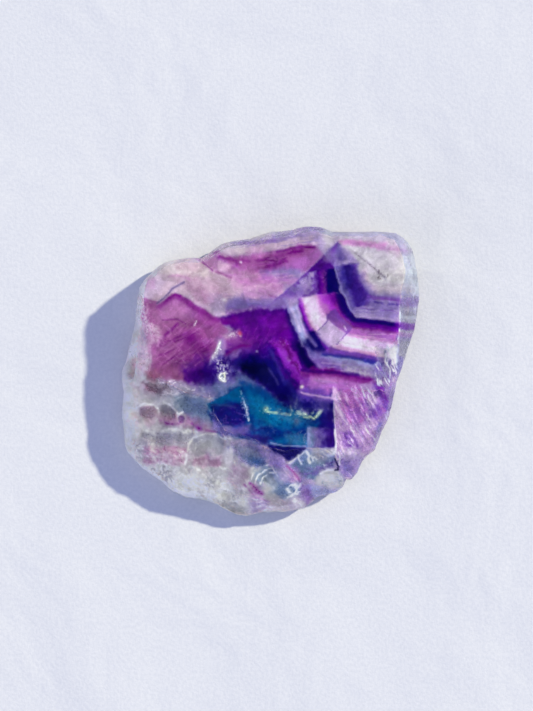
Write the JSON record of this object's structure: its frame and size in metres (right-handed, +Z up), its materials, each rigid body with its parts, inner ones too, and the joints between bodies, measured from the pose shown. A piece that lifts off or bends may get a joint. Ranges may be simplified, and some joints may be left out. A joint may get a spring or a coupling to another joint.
{
  "type": "fluorite slice",
  "caption": "Thick slice of banded purple and blue fluorite, sawn flat below and polished on top, with a broken natural rim.",
  "frame": {"origin": "on the sawn flat underside, in the middle of the slice's bounding box", "axes": "+Z up through the thickness to the polished face, +X towards the chipped side with the wide step, +Y towards the thin straight edge"},
  "size_m": [0.0959, 0.0933, 0.015],
  "materials": {
    "fluorite": "polished on the top face, sawn below and broken glassy round the rim"
  },
  "bodies": {
    "root": {"fluorite_slice": "fluorite"}
  },
  "joints": []
}
